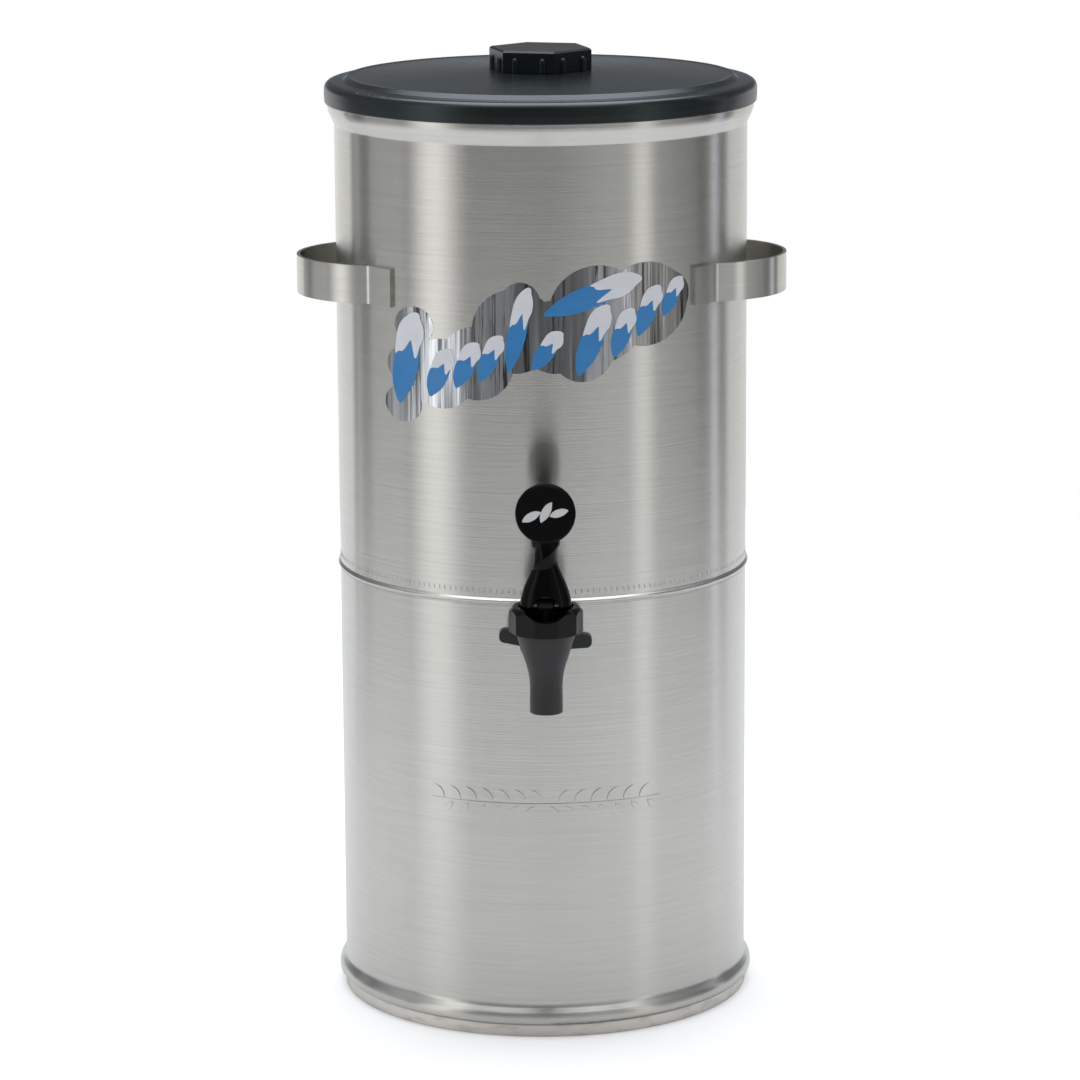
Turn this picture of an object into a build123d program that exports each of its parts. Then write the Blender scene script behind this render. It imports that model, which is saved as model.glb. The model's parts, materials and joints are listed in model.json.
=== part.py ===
from build123d import *
from math import atan2, cos, degrees, pi, radians, sin, sqrt
import os

# Round stainless steel tea dispenser with a lift-off lid, a plug cap in the lid and a lever faucet.
# Millimetres, +Z up, faucet towards -Y. The origin is on the vessel's axis, at the underside of the foot.

# Vessel: two rolled shells that meet at a bead, with a drawn pan welded inside them
BODY_R = 120.65
SHEET = 0.9
BASE_HEIGHT = 259.8
UPPER_HEIGHT = 282.2
BEAD_PROUD = 1.8
BEAD_HALF = 1.9
BEAD_FOOT_BEND = 0.4
BEAD_TOP_BEND = 0.6
SHELL_LIP = 0.35
SEAM_GAP = 0.15
RIM_FLARE = 3.8
FLARE_FOOT = 21.3
FLARE_TOP = 13.2
FLARE_FOOT_BEND = 2.2
FLARE_TOP_BEND = 8.0
HEM_WIDTH = 6.0
HEM_DROP = 5.0
HEM_BEND = 2.6

# Drawn pan: the reservoir's floor
PAN_LAP_UP = 12.2
PAN_LAP_DOWN = 5.8
PAN_STEP = 2.5
PAN_STEP_RUN = 4.0
PAN_STEP_BEND = 1.5
PAN_CORNER = 7.0
PAN_GUTTER = 14.0
PAN_GUTTER_BEND = 12.0
PAN_CROWN = 7.0
PAN_CROWN_R = 23.45
PAN_CROWN_BEND = 40.0
PAN_SUMP = 2.0

# Base shell's rolled foot, and the ring that it stands in
BULGE_PROUD = 3.75
BULGE_TOP = 18.2
BULGE_BROW = 13.2
BULGE_FLOOR = 8.5
BULGE_BENDS = (5.0, 5.1, 1.5, 1.1)
FOOT_INSET = 2.1
RING_FLOOR = 2.0
RING_HEIGHT = 6.9
RING_WALL = 1.4
RING_FLARE = 0.8
RING_GAP = 0.05

# Raised leaf spray on the base shell
SPRAY_Z = 140.0
SPRAY_HALF = 66.0
SPRAY_RISE = 0.5
LEAF_COUNT = 26
LEAF_LENGTH = 9.0
LEAF_WIDTH = 3.3
LEAF_TILT = 52.0
STALK_WIDTH = 1.1
LEAF_GAP = 0.7

# Strap handles
STRAP_WIDTH = 22.0
STRAP = 2.0
HANDLE_DROP = 106.5
HANDLE_FORWARD = 12.0
LOOP_R = 54.1
LOOP_CENTRE = 29.85
TAB_END = 32.8
TAB_LAP = 1.2
STRAP_BEND = 7.0

# Foil label
LABEL_T = 0.2
LABEL_DROP = 135.5
LABEL_SLOPE = 0.23
LABEL_REACH = 60.0
LABEL_LOBES = (
    (-73.5, 26.0, 11.0),
    (-78.0, 4.0, 11.0),
    (-80.0, -18.0, 10.5),
    (-58.0, -3.5, 20.0),
    (-38.0, -1.0, 21.0),
    (-16.5, 13.0, 24.0),
    (-13.0, 29.0, 11.0),
    (7.0, 4.5, 21.0),
    (30.5, 11.0, 28.0),
    (22.0, -7.0, 18.0),
    (58.0, 9.0, 24.0),
    (68.0, 10.5, 15.0),
)

# Lid
LID_CLEAR = 0.45
LID_WALL = 1.5
LID_SKIRT = 9.1
LID_SEAT_GAP = 0.1
LID_SHOULDER = 3.0
LID_RIDGE = 5.9
LID_CROWN = 9.0
LID_T = 2.5
LID_DRAFT = 0.2
LID_EDGE_BEND = 4.4
SKIRT_TUCK = 0.35
SKIRT_EDGE_BEND = 0.7
SHOULDER_RISE = 0.6
RIDGE_INSET = 13.9
RIDGE_RUN = 3.0
RIDGE_LIP = 0.25
RIDGE_WIDTH = 3.2
DISC_DIP = 0.15
DISC_BEND = 30.0
HOLE_MARGIN = 2.0
LOCATOR_GAP = 0.9
LOCATOR_WALL = 2.2
LOCATOR_DROP = 13.0
BREW_HOLE_R = 22.0
BOSS_WALL = 3.0
BOSS_DROP = 9.0

# Hexagonal plug cap
CAP_OVERHANG = 8.8
CAP_HEIGHT = 12.7
CAP_TURN = -15.3
CAP_BEVEL = 1.1
CAP_WALL = 2.2
CAP_GAP = 0.2
PLUG_CLEAR = 0.4
PLUG_WALL = 2.2
PLUG_DROP = 12.0
RIB_R = 2.2
RIB_PROUD = 1.6
RIB_SPREAD = 8.2
RIB_TOP_DROP = 3.9
SEAL_SECTION = 1.8
SEAL_FLATTENING = 0.4
SEAL_SQUEEZE_GAP = 0.05
SEAL_DROP = 3.4

# Faucet shank, coupling and wing nut, on a level line along -Y
SHANK_DROP = 17.8
SHANK_R = 11.0
SHANK_WALL = 3.0
SHANK_OUT = 15.35
SHANK_IN = 5.0
SKIRT_HOLE_GAP = 0.5
GASKET_T = 2.0
INLET_STEP = 2.0
INLET_WALL = 2.5
CLIP_SETBACK = 0.8
CLIP_T = 2.0
CLIP_GROOVE = 1.0
CLIP_PROUD = 1.6
CLIP_OPENING = 50.0
NUT_RUN = 0.05
NUT_WALL = 4.0
NUT_FRONT = 2.9
NUT_BACK_GAP = 5.3
NUT_TO_BONNET = 0.35
NUT_TURN = -4.1
EAR_SPAN = 52.7
EAR_HEIGHT = 8.8
EAR_DEPTH = 8.0
EAR_SETBACK = 3.0
EAR_CORNER = 3.1
EAR_TAPER = 1.0
EAR_SWELL = 0.8
EAR_EDGE = 1.5

# Faucet barrel, heights from the shank's axis
BARREL_R = 16.85
BARREL_COLLAR = 1.2
BARREL_TAPER_END = -14.5
BARREL_BEND = 45.0
SPOUT_R = 9.1
SPOUT_END = -35.4
SPOUT_LIP_R = 9.35
SPOUT_WALL = 1.75
OUTLET_R = 6.5
OUTLET_END = -20.0
SEAT_TOP = -11.0
SEAT_BOTTOM = -14.5
SEAT_FLARE = 2.3
NECK_STEP = 0.6
NECK_WALL = 1.9
CHAMBER_TAPER_TOP = 9.0

# Bonnet
BONNET_PROUD = 4.1
BONNET_SIDES = 10
BONNET_LOW = 11.4
BONNET_HEIGHT = 13.6
BONNET_SEAT_GAP = 0.2
BONNET_CROWN = 1.0
BONNET_BEVEL = 2.6
BONNET_BEVEL_DROP = 3.2
BONNET_EDGE = 1.6
VALLEY_R = 16.0
VALLEY_DEPTH = 6.0
RECESS_DEPTH = 6.4
RECESS_WALL = 5.35
BONNET_FLOOR = 2.2
THREAD_GAP = 0.1
STEM_HOLE_GAP = 0.35

# Valve stem, seat cup, spring and pin
STEM_R = 3.2
STEM_COLLAR_GAP = 0.4
STEM_COLLAR_T = 1.5
STEM_TIP = 3.5
STEM_HEAD_R = 4.2
STEM_HEAD_WIDTH = 9.6
CUP_WALL = 1.4
CUP_FLOOR = 6.0
CUP_SIDE_GAP = 1.6
CUP_SEAT_GAP = 0.15
CUP_WAIST_GAP = 0.8
CUP_FLANGE = 1.6
CUP_FLANGE_GAP = 0.05
SPRING_WIRE = 0.9
SPRING_GAP = 1.7
SPRING_TURNS = 8
PIN_RISE = 1.0
PIN_R = 1.5
PIN_RUN = 0.05
PIN_INSET = 0.55

# Lever: bell-shaped foot, twisted neck and round disc, heights from the bonnet's top
FOOT_GAP = 0.35
BELL_GAP = 0.85
BELL_FLATNESS = 0.69
BELL_SECTIONS = ((8.4, 0.9, 0.93), (14.4, 0.755, 0.83), (20.7, 0.572, 0.7), (25.0, 0.47, 0.6))
SPINE_SECTIONS = (
    (35.0, 0.0, 7.8, 5.33),
    (41.5, -0.2, 8.1, 4.59),
    (49.4, 0.3, 6.71, 3.41),
    (60.4, 0.9, 4.3, 1.86),
)
FOOT_TUCK = 0.55
ARCH_HALF = 7.25
ARCH_RISE = 8.0
TWIST_LOW = 21.0
TWIST_HIGH = 39.0
TWIST_STEPS = 6
TWIST_HALF = 7.9
TWIST_THICK = 6.5
DISC_R = 16.9
DISC_T = 6.0
DISC_RISE = 54.4
DISC_FORWARD = 4.0
DISC_LEAN = 8.0
DISC_EDGE = 1.2
BADGE_RIM = 1.2
BADGE_DEPTH = 0.7
BADGE_T = 0.8

# Places worked out from the sizes above
RIM_Z = BASE_HEIGHT + UPPER_HEIGHT
SHANK_Z = BASE_HEIGHT - SHANK_DROP
INNER_R = BODY_R - SHEET
RIM_R = BODY_R + RIM_FLARE
RIM_MOUTH_R = RIM_R - HEM_WIDTH
PAN_R = INNER_R - PAN_STEP
SHANK_END = BODY_R + SHANK_OUT
SHANK_START = PAN_R - SHEET - SHANK_IN
SHANK_BORE = SHANK_R - SHANK_WALL
INLET_R = SHANK_R - INLET_STEP
INLET_START = SHANK_END + GASKET_T
CLIP_START = INLET_START + CLIP_SETBACK
CLIP_END = CLIP_START + CLIP_T
CLIP_R = INLET_R + CLIP_PROUD
NUT_END = CLIP_END + NUT_FRONT
BONNET_R = BARREL_R + BONNET_PROUD
FAUCET_Y = -(NUT_END + NUT_TO_BONNET + BONNET_R)
LID_R = RIM_R + LID_CLEAR + LID_WALL
LID_TOP_Z = RIM_Z + LID_CROWN
PLUG_R = BREW_HOLE_R - PLUG_CLEAR
CAP_R = BREW_HOLE_R + CAP_OVERHANG
NECK_R = BARREL_R - NECK_STEP
CHAMBER_R = NECK_R - NECK_WALL
RECESS_R = BONNET_R - RECESS_WALL
BONNET_TOP = BONNET_LOW + BONNET_HEIGHT
RECESS_FLOOR = BONNET_TOP - RECESS_DEPTH
BONNET_UNDERSIDE = RECESS_FLOOR - BONNET_FLOOR
BARREL_TOP = BONNET_LOW - BONNET_SEAT_GAP
NECK_TOP = BONNET_UNDERSIDE - CUP_FLANGE - 2 * CUP_FLANGE_GAP
SEAT_R = OUTLET_R + SEAT_FLARE
CUP_WAIST_R = SEAT_R - CUP_WAIST_GAP
STEM_COLLAR_R = CUP_WAIST_R - CUP_WALL - STEM_COLLAR_GAP
SPRING_R = STEM_R + SPRING_GAP
CUP_BOTTOM = SEAT_BOTTOM + 2 * CUP_SEAT_GAP
CUP_INSIDE = CUP_BOTTOM + CUP_FLOOR
COLLAR_TOP = CUP_INSIDE + STEM_COLLAR_T
FOOT_BOTTOM = RECESS_FLOOR + FOOT_GAP
PIN_Z = BONNET_TOP + PIN_RISE
BELL_R = RECESS_R - BELL_GAP
BELL_DEPTH = BELL_R * BELL_FLATNESS
PIN_HALF = BELL_R - PIN_INSET
DISC_Z = BONNET_TOP + DISC_RISE

AT_FAUCET = Pos(0, FAUCET_Y, SHANK_Z)


def rounded_face(corners):
    """A closed outline from (x, y, corner radius) triples."""
    face = make_face(Polyline(*[(x, y) for x, y, _ in corners], close=True))
    for x, y, radius in corners:
        if radius > 0:
            corner = face.vertices().sort_by_distance(Vector(x, y))[0]
            face = fillet(corner, radius)
    return face


def turned(face):
    """A solid of revolution about Z from an outline in (radius, height)."""
    return revolve(Plane.XZ * face, Axis.Z)


def rolled_sheet(points, bends, side):
    """Rolled sheet metal: a path in (radius, height) with bend radii, made SHEET thick to one side."""
    path = FilletPolyline(*points, radius=bends)
    outline = Wire(path.edges()).offset_2d(SHEET, side=side, closed=True)
    return turned(Face(outline))


def outward_plane(distance):
    """A plane square to the shank: local Z points away from the vessel, local Y points up."""
    return Plane((0, -distance, SHANK_Z), x_dir=(1, 0, 0), z_dir=(0, -1, 0))


def level_tube(outer, inner, start, end):
    """A tube along the shank's line, between two distances from the vessel's axis."""
    ring = Circle(outer) - Circle(inner)
    return extrude(outward_plane(start) * ring, end - start)


def level_rod(radius, start, end):
    """A rod along the shank's line, for cutting holes."""
    return extrude(outward_plane(start) * Circle(radius), end - start)


def upright_rod(radius, height):
    """A rod that stands on the local origin."""
    return extrude(Circle(radius), height)


def sleeve(inner, outer, low, high):
    """A plain upright tube between two heights."""
    ring = Circle(outer) - Circle(inner)
    return Pos(0, 0, low) * extrude(ring, high - low)


def front_prism(sketch, reach):
    """A front view drawn in (x, height), pushed from the vessel's axis out past its front."""
    return extrude(Plane.XZ * sketch, reach)


def make_upper_shell():
    """Straight wall with the joint bead at its foot and a flared, hemmed rim."""
    bead_low = BASE_HEIGHT - BEAD_HALF
    bead_high = BASE_HEIGHT + BEAD_HALF
    points = [
        (BODY_R, bead_low - SHELL_LIP),
        (BODY_R, bead_low),
        (BODY_R + BEAD_PROUD, BASE_HEIGHT),
        (BODY_R, bead_high),
        (BODY_R, RIM_Z - FLARE_FOOT),
        (RIM_R, RIM_Z - FLARE_TOP),
        (RIM_R, RIM_Z),
        (RIM_MOUTH_R, RIM_Z),
        (RIM_MOUTH_R, RIM_Z - HEM_DROP),
    ]
    bead_bends = [BEAD_FOOT_BEND, SHEET + 0.1, BEAD_TOP_BEND]
    rim_bends = [FLARE_FOOT_BEND, FLARE_TOP_BEND, HEM_BEND, HEM_BEND]
    return rolled_sheet(points, bead_bends + rim_bends, Side.LEFT)


def make_reservoir_pan():
    """Drawn pan: a band inside both shells, a narrower well and a floor crowned in the middle."""
    gutter_z = SHANK_Z - SHANK_R - PAN_SUMP
    step_z = BASE_HEIGHT - PAN_LAP_DOWN
    points = [
        (INNER_R, BASE_HEIGHT + PAN_LAP_UP),
        (INNER_R, step_z),
        (PAN_R, step_z - PAN_STEP_RUN),
        (PAN_R, gutter_z),
        (PAN_R - PAN_GUTTER, gutter_z),
        (PAN_CROWN_R, gutter_z + PAN_CROWN),
        (0, gutter_z + PAN_CROWN),
    ]
    bends = [PAN_STEP_BEND, PAN_STEP_BEND, PAN_CORNER, PAN_GUTTER_BEND, PAN_CROWN_BEND]
    pan = rolled_sheet(points, bends, Side.RIGHT)
    return pan - level_rod(SHANK_R, SHANK_START, SHANK_END)


def leaf_outline():
    """One leaf: two arcs that meet in points, from the origin along +X."""
    half = LEAF_LENGTH / 2
    upper = ThreePointArc((0, 0), (half, LEAF_WIDTH / 2), (LEAF_LENGTH, 0))
    lower = ThreePointArc((LEAF_LENGTH, 0), (half, -LEAF_WIDTH / 2), (0, 0))
    return make_face([upper, lower])


def spray_outlines():
    """A level stalk with leaves to either side by turns, growing from the middle to both ends."""
    outlines = [Pos(0, SPRAY_Z) * Rectangle(2 * SPRAY_HALF, STALK_WIDTH)]
    pitch = (2 * SPRAY_HALF - LEAF_LENGTH) / LEAF_COUNT
    root = STALK_WIDTH / 2 + LEAF_GAP
    for index in range(LEAF_COUNT):
        x = -SPRAY_HALF + LEAF_LENGTH / 2 + (index + 0.5) * pitch
        side = 1 if index % 2 == 0 else -1
        away = 1 if x > 0 else -1
        heading = LEAF_TILT if away > 0 else 180 - LEAF_TILT
        leaf = Rot(0, 0, side * heading) * leaf_outline()
        outlines.append(Pos(x, SPRAY_Z + side * root) * leaf)
    return outlines


def make_base_skirt():
    """Straight wall under the bead, with the rolled foot, the shank's hole and the raised spray."""
    top = BASE_HEIGHT - BEAD_HALF - SHELL_LIP - SEAM_GAP
    neck_r = INNER_R - FOOT_INSET + SHEET / 2
    points = [
        (INNER_R, top),
        (INNER_R, BULGE_TOP),
        (INNER_R + BULGE_PROUD, BULGE_BROW),
        (INNER_R + BULGE_PROUD, BULGE_FLOOR),
        (neck_r, BULGE_FLOOR),
        (neck_r, RING_FLOOR),
    ]
    skirt = rolled_sheet(points, BULGE_BENDS, Side.LEFT)
    relief_band = sleeve(BODY_R - SHEET / 2, BODY_R + SPRAY_RISE, SPRAY_Z - LEAF_LENGTH * 1.5,
                         SPRAY_Z + LEAF_LENGTH * 1.5)
    for outline in spray_outlines():
        skirt += front_prism(outline, BODY_R + 5) & relief_band
    return skirt - level_rod(SHANK_R + SKIRT_HOLE_GAP, PAN_R, SHANK_END)


def make_foot_ring():
    """Channel ring that the base shell's lower edge stands in."""
    neck_r = INNER_R - FOOT_INSET + SHEET / 2
    slot_in = neck_r - RING_GAP
    slot_out = neck_r + SHEET + RING_GAP
    return turned(rounded_face([
        (slot_in - RING_WALL, 0, 0.5),
        (slot_out + RING_WALL + RING_FLARE, 0, 0.4),
        (slot_out + RING_WALL, RING_HEIGHT, 0.5),
        (slot_out, RING_HEIGHT, 0),
        (slot_out, RING_FLOOR, 0),
        (slot_in, RING_FLOOR, 0),
        (slot_in, RING_HEIGHT, 0),
        (slot_in - RING_WALL, RING_HEIGHT, 0.5),
    ]))


def sector(outer, inner, start, end):
    """Part of a flat ring between two angles."""
    reach = 2 * outer
    wedge = make_face(Polyline(
        (0, 0),
        (reach * cos(radians(start)), reach * sin(radians(start))),
        (reach * cos(radians((start + end) / 2)), reach * sin(radians((start + end) / 2))),
        (reach * cos(radians(end)), reach * sin(radians(end))),
        close=True,
    ))
    return (Circle(outer) - Circle(inner)) & wedge


def handle_outline():
    """Plan of one strap handle, with its middle on +X and the vessel's axis at the origin."""
    loop_x = BODY_R - LOOP_CENTRE
    tab_r = BODY_R + STRAP
    meet_x = (tab_r ** 2 - LOOP_R ** 2 + loop_x ** 2) / (2 * loop_x)
    meet_y = sqrt(tab_r ** 2 - meet_x ** 2)
    meet_angle = degrees(atan2(meet_y, meet_x))
    loop = Pos(loop_x, 0) * (Circle(LOOP_R) - Circle(LOOP_R - STRAP)) - Circle(BODY_R)
    strap = loop
    for side in (1, -1):
        start = side * (meet_angle - TAB_LAP)
        strap += sector(tab_r, BODY_R, start, side * TAB_END)
    for x, y in ((meet_x, meet_y), (meet_x, -meet_y)):
        corner = strap.vertices().sort_by_distance(Vector(x, y))[0]
        strap = fillet(corner, STRAP_BEND)
    return strap


def make_handle(side):
    """A bent strap welded to the upper shell; side is 1 for +X and -1 for -X."""
    low = RIM_Z - HANDLE_DROP - STRAP_WIDTH / 2
    turn = -HANDLE_FORWARD if side > 0 else 180 + HANDLE_FORWARD
    return Pos(0, 0, low) * Rot(0, 0, turn) * extrude(handle_outline(), STRAP_WIDTH)


def make_front_label():
    """Foil sticker with a lobed outline that climbs from left to right."""
    outline = Sketch()
    middle = RIM_Z - LABEL_DROP
    for x, lift, lobe in LABEL_LOBES:
        outline += Pos(x, middle + lift + LABEL_SLOPE * x) * Circle(lobe)
    reach = LABEL_REACH
    skin = sleeve(BODY_R, BODY_R + LABEL_T, middle - reach, middle + reach)
    return front_prism(outline, BODY_R + 5) & skin


def make_lid():
    """Moulded lid: skirt over the rim, stepped shoulder, domed disc with a collar round the brew hole."""
    skirt_z = RIM_Z - LID_SKIRT
    seat_z = RIM_Z + LID_SEAT_GAP
    wall_r = LID_R - LID_WALL
    ridge_r = LID_R - RIDGE_INSET
    locator_r = RIM_MOUTH_R - LOCATOR_GAP
    locator_in = locator_r - LOCATOR_WALL
    boss_r = BREW_HOLE_R + BOSS_WALL
    flat_r = CAP_R + HOLE_MARGIN
    shoulder_z = RIM_Z + LID_SHOULDER
    ridge_z = RIM_Z + LID_RIDGE
    under_edge_z = ridge_z - DISC_DIP - LID_T
    under_z = LID_TOP_Z - LID_T
    return turned(rounded_face([
        (LID_R - SKIRT_TUCK, skirt_z, SKIRT_EDGE_BEND),
        (LID_R, skirt_z + LID_SKIRT / 2, 0),
        (LID_R - LID_DRAFT, shoulder_z, LID_EDGE_BEND),
        (ridge_r + RIDGE_RUN, shoulder_z + SHOULDER_RISE, 0.9),
        (ridge_r, ridge_z + RIDGE_LIP, 1.1),
        (ridge_r - RIDGE_WIDTH, ridge_z - DISC_DIP, 2.5),
        (flat_r, LID_TOP_Z, DISC_BEND),
        (BREW_HOLE_R, LID_TOP_Z, 0.4),
        (BREW_HOLE_R, LID_TOP_Z - BOSS_DROP, 0),
        (boss_r, LID_TOP_Z - BOSS_DROP, 0.5),
        (boss_r, under_z, 0),
        (flat_r, under_z, 0),
        (locator_in, under_edge_z, 1.0),
        (locator_in, seat_z - LOCATOR_DROP, 0.5),
        (locator_r, seat_z - LOCATOR_DROP, 0.5),
        (locator_r, seat_z, 0.5),
        (wall_r, seat_z, 0.8),
        (wall_r, skirt_z, 0.3),
    ]))


def make_hex_cap():
    """Hexagonal plug: bevelled cap with two grip ribs to each side and a hollow plug below."""
    low = LID_TOP_Z + CAP_GAP
    top = LID_TOP_Z + CAP_HEIGHT
    plug_low = LID_TOP_Z - PLUG_DROP
    hexagon = extrude(RegularPolygon(CAP_R, 6), top - low)
    cap = chamfer(hexagon.faces().sort_by(Axis.Z)[-1].edges(), CAP_BEVEL)
    flat = CAP_R * cos(pi / 6)
    rib_height = top - low - RIB_TOP_DROP - RIB_R
    for index in range(6):
        for spread in (RIB_SPREAD, -RIB_SPREAD):
            place = Rot(0, 0, 30 + 60 * index) * Pos(flat + RIB_PROUD - RIB_R, spread, 0)
            rib = Pos(0, 0, rib_height / 2) * Cylinder(RIB_R, rib_height)
            cap += place * (rib + Pos(0, 0, rib_height) * Sphere(RIB_R))
    hollow = RegularPolygon(CAP_R - CAP_WALL / cos(pi / 6), 6) - Circle(PLUG_R)
    cap -= extrude(hollow, top - low - CAP_WALL)
    cap = Pos(0, 0, low) * Rot(0, 0, CAP_TURN) * cap
    cap += sleeve(PLUG_R - PLUG_WALL, PLUG_R, plug_low, top - CAP_WALL)
    cap -= Pos(0, 0, plug_low) * upright_rod(PLUG_R - PLUG_WALL, top - CAP_WALL - plug_low)
    groove_z = LID_TOP_Z - SEAL_DROP
    groove = sleeve(seal_inner_r(), PLUG_R + 1, groove_z - seal_half(), groove_z + seal_half())
    return cap - groove


def seal_half():
    """Half the height of the seal's groove."""
    return SEAL_SECTION / 2 + SEAL_SQUEEZE_GAP


def seal_inner_r():
    """Radius of the groove's floor."""
    return BREW_HOLE_R - SEAL_SQUEEZE_GAP - SEAL_SECTION + SEAL_FLATTENING


def make_cap_seal():
    """Rubber ring in the plug's groove that rubs on the brew hole's wall."""
    inner = seal_inner_r() + SEAL_SQUEEZE_GAP
    outer = BREW_HOLE_R - SEAL_SQUEEZE_GAP
    middle = LID_TOP_Z - SEAL_DROP
    half = SEAL_SECTION / 2
    return turned(rounded_face([
        (inner, middle - half, 0.3),
        (outer, middle - half, 0.5),
        (outer, middle + half, 0.5),
        (inner, middle + half, 0.3),
    ]))


def make_shank():
    """Steel tube welded into the pan, standing out through the base shell."""
    shank = level_tube(SHANK_R, SHANK_BORE, SHANK_START, SHANK_END)
    rim = shank.edges().filter_by(GeomType.CIRCLE).sort_by(Axis.Y)[:2].sort_by(SortBy.RADIUS)[-1]
    return chamfer(rim, 0.8)


def make_coupling_gasket():
    """Flat ring squeezed between the shank's end and the faucet's inlet."""
    return level_tube(SHANK_R - 0.2, INLET_R - INLET_WALL, SHANK_END, INLET_START)


def make_faucet_body():
    """Tapered barrel with its valve seat, outlet and inlet tube."""
    outer = rounded_face([
        (0, SPOUT_END, 0),
        (SPOUT_LIP_R, SPOUT_END, 0.5),
        (SPOUT_R, BARREL_TAPER_END, BARREL_BEND),
        (BARREL_R, BARREL_TOP - BARREL_COLLAR, 0),
        (BARREL_R, BARREL_TOP, 0.4),
        (NECK_R, BARREL_TOP, 0),
        (NECK_R, NECK_TOP, 0.4),
        (0, NECK_TOP, 0),
    ])
    inner = rounded_face([
        (0, SPOUT_END - 1, 0),
        (SPOUT_LIP_R - SPOUT_WALL, SPOUT_END - 1, 0),
        (OUTLET_R, OUTLET_END, 0),
        (OUTLET_R, SEAT_BOTTOM, 0),
        (SEAT_R, SEAT_TOP, 0),
        (CHAMBER_R, CHAMBER_TAPER_TOP, 0),
        (CHAMBER_R, NECK_TOP + 1, 0),
        (0, NECK_TOP + 1, 0),
    ])
    inlet_end = -FAUCET_Y - SEAT_R
    inlet = level_rod(INLET_R, INLET_START, inlet_end)
    body = AT_FAUCET * turned(outer) + inlet
    body -= AT_FAUCET * turned(inner)
    body -= level_rod(INLET_R - INLET_WALL, INLET_START - 1, inlet_end + SEAT_R)
    return body - level_tube(INLET_R + 1, INLET_R - CLIP_GROOVE, CLIP_START, CLIP_END)


def make_c_ring():
    """Split ring in the inlet's groove that the nut pulls against."""
    ring = level_tube(CLIP_R, INLET_R - CLIP_GROOVE, CLIP_START + 0.05, CLIP_END - 0.05)
    half_gap = CLIP_R * sin(radians(CLIP_OPENING / 2))
    notch = Rectangle(2 * half_gap, 2 * CLIP_R, align=(Align.CENTER, Align.MAX))
    return ring - extrude(outward_plane(CLIP_START - 1) * notch, CLIP_T + 2)


def ear_outline():
    """Front view of the nut's ears: one bar with rounded ends, thicker at its middle."""
    tip = EAR_SPAN / 2
    half = EAR_HEIGHT / 2
    root = INLET_R + NUT_WALL
    return rounded_face([
        (-tip, -half + EAR_TAPER, EAR_CORNER),
        (-root, -half - EAR_SWELL, 0),
        (root, -half - EAR_SWELL, 0),
        (tip, -half + EAR_TAPER, EAR_CORNER),
        (tip, half - EAR_TAPER, EAR_CORNER),
        (root, half + EAR_SWELL, 0),
        (-root, half + EAR_SWELL, 0),
        (-tip, half - EAR_TAPER, EAR_CORNER),
    ])


def make_wing_nut():
    """Coupling nut: threaded hub, front wall that bears on the clip, and two ears."""
    back = BODY_R + NUT_BACK_GAP
    hub_r = SHANK_R + NUT_WALL
    hub = level_rod(hub_r, back, NUT_END)
    hub = chamfer(hub.edges().filter_by(GeomType.CIRCLE), 0.9)
    ear_plane = outward_plane(back + EAR_SETBACK) * Rot(0, 0, NUT_TURN)
    ears = extrude(ear_plane * ear_outline(), EAR_DEPTH)
    for face in (ears.faces().sort_by(Axis.Y)[0], ears.faces().sort_by(Axis.Y)[-1]):
        ears = fillet(face.edges(), EAR_EDGE)
    nut = hub + ears
    nut -= level_rod(SHANK_R + NUT_RUN, back - 1, CLIP_END)
    return nut - level_rod(INLET_R + 2 * NUT_RUN, back - 1, NUT_END + 1)


def make_bonnet():
    """Ten-sided cap screwed on the barrel, with a round well for the lever's foot and a dip in front."""
    crown = BONNET_TOP + BONNET_CROWN
    shape = turned(rounded_face([
        (0, BONNET_LOW, 0),
        (BONNET_R, BONNET_LOW, 0.8),
        (BONNET_R, crown - BONNET_BEVEL_DROP, 2.0),
        (BONNET_R - BONNET_BEVEL, crown, 1.0),
        (0, crown, 0),
    ]))
    half_side = 180 / BONNET_SIDES
    prism = extrude(RegularPolygon(BONNET_R, BONNET_SIDES), crown)
    prism = fillet(prism.edges().filter_by(Axis.Z), BONNET_EDGE)
    bonnet = shape & (Rot(0, 0, 90 + half_side) * prism)
    bonnet -= Pos(0, 0, RECESS_FLOOR) * upright_rod(RECESS_R, crown)
    valley = Rot(90, 0, 0) * Cylinder(VALLEY_R, 2 * BONNET_R)
    bonnet -= Pos(0, -BONNET_R, crown - VALLEY_DEPTH + VALLEY_R) * valley
    bonnet -= upright_rod(STEM_R + STEM_HOLE_GAP, BONNET_TOP)
    bonnet -= upright_rod(NECK_R + THREAD_GAP, BONNET_UNDERSIDE)
    return AT_FAUCET * bonnet


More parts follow.
